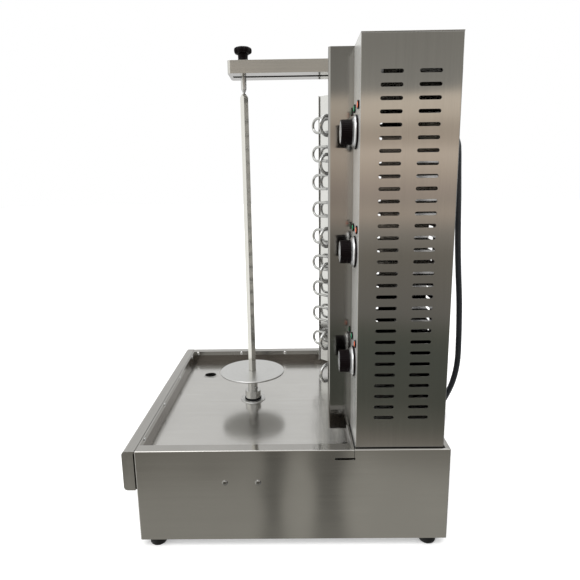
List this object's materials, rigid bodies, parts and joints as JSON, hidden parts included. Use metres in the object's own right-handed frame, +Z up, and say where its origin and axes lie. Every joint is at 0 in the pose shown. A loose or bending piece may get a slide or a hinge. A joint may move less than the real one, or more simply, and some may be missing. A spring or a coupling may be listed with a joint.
{
  "type": "vertical rotisserie broiler",
  "caption": "Electric vertical rotisserie broiler: steel base with a drip tray, slotted column with a ribbed heater head, driven spit with a meat disc, top arm and free power cord.",
  "frame": {"origin": "on the standing surface, under the middle of the machine's bounding box without the cord and its gland", "axes": "+Z up, -X the front with the drip tray and bumper, +X the back with the cord, -Y the side with the dials"},
  "size_m": [0.837, 0.8025, 1.051],
  "materials": {
    "brushed_case": "brushed stainless sheet",
    "polished_steel": "mirror-polished stainless sheet",
    "zinc_steel": "zinc-plated",
    "bright_screws": "bright",
    "spit_steel": "turned and ground stainless",
    "element_tube": "drawn bright tube",
    "brass_bush": "plated",
    "black_rubber": "matte",
    "cord_rubber": "satin",
    "black_plastic": "moulded",
    "dial_face": "spun",
    "motor_paint": "semi-gloss",
    "regulator_plastic": "moulded",
    "insulation_board": "fibrous",
    "red_lens": "tinted lens",
    "green_lens": "tinted lens"
  },
  "bodies": {
    "frame": {"base_shell": "brushed_case", "base_floor": "zinc_steel", "front_bumper": "brushed_case", "bumper_screws": "zinc_steel", "tray_floor": "polished_steel", "tray_walls": "polished_steel", "tray_screws": "bright_screws", "side_screws": "bright_screws", "drain_spout": "polished_steel", "feet": "black_rubber", "foot_screws": "zinc_steel", "motor_beam": "zinc_steel", "gearbox": "zinc_steel", "motor_can": "motor_paint", "hub_flange": "polished_steel", "hub_bearing": "zinc_steel", "hub_seal": "black_rubber", "column_near_panel": "brushed_case", "column_far_panel": "brushed_case", "column_back_panel": "brushed_case", "back_screws": "zinc_steel", "column_front_panel": "brushed_case", "control_panel": "polished_steel", "column_top": "brushed_case", "control_shield": "brushed_case", "heater_casing": "brushed_case", "reflector": "polished_steel", "insulation": "insulation_board", "element_top": "element_tube", "element_middle": "element_tube", "element_bottom": "element_tube", "element_bushes": "brass_bush", "element_clips": "zinc_steel", "top_arm": "brushed_case", "arm_bolts": "zinc_steel", "arm_nut": "zinc_steel", "regulators": "regulator_plastic", "red_lamps": "red_lens", "green_lamps": "green_lens", "terminal_block": "regulator_plastic", "cord_gland": "cord_rubber", "cord": "cord_rubber", "cord_coil": "cord_rubber", "cord_plug": "cord_rubber"},
    "spit": {"drive_spindle": "spit_steel", "disc_sleeve": "spit_steel", "sleeve_screw": "zinc_steel", "spit_disc": "spit_steel", "spit_bar": "spit_steel"},
    "dial_top": {"dial_knob_top": "black_plastic", "dial_trim_top": "dial_face", "dial_spindle_top": "zinc_steel"},
    "dial_middle": {"dial_knob_middle": "black_plastic", "dial_trim_middle": "dial_face", "dial_spindle_middle": "zinc_steel"},
    "dial_bottom": {"dial_knob_bottom": "black_plastic", "dial_trim_bottom": "dial_face", "dial_spindle_bottom": "zinc_steel"},
    "pin": {"top_pin": "spit_steel"},
    "star": {"star_knob": "black_plastic"}
  },
  "joints": [
    {"name": "spit_spin", "type": "hinge", "parent": "frame", "child": "spit", "pos_m": [-0.092, 0, 0.2], "axis": [0, 0, 1], "continuous": true},
    {"name": "dial_turn_top", "type": "hinge", "parent": "frame", "child": "dial_top", "pos_m": [0.12, -0.269, 0.837], "axis": [1, 0, 0], "range_deg": [0, 300]},
    {"name": "dial_turn_middle", "type": "hinge", "parent": "frame", "child": "dial_middle", "pos_m": [0.12, -0.269, 0.612], "axis": [1, 0, 0], "range_deg": [0, 300]},
    {"name": "dial_turn_bottom", "type": "hinge", "parent": "frame", "child": "dial_bottom", "pos_m": [0.12, -0.269, 0.387], "axis": [1, 0, 0], "range_deg": [0, 300]},
    {"name": "pin_lift", "type": "slide", "parent": "frame", "child": "pin", "axis": [0, 0, 1], "range_m": [0, 0.012]},
    {"name": "star_turn", "type": "hinge", "parent": "pin", "child": "star", "pos_m": [-0.092, 0, 1.04], "axis": [0, 0, 1], "range_deg": [0, 2160]}
  ],
  "couplings": [
    {"joint": "star_turn", "follows": "pin_lift", "rad_per_m": 3141.6}
  ]
}
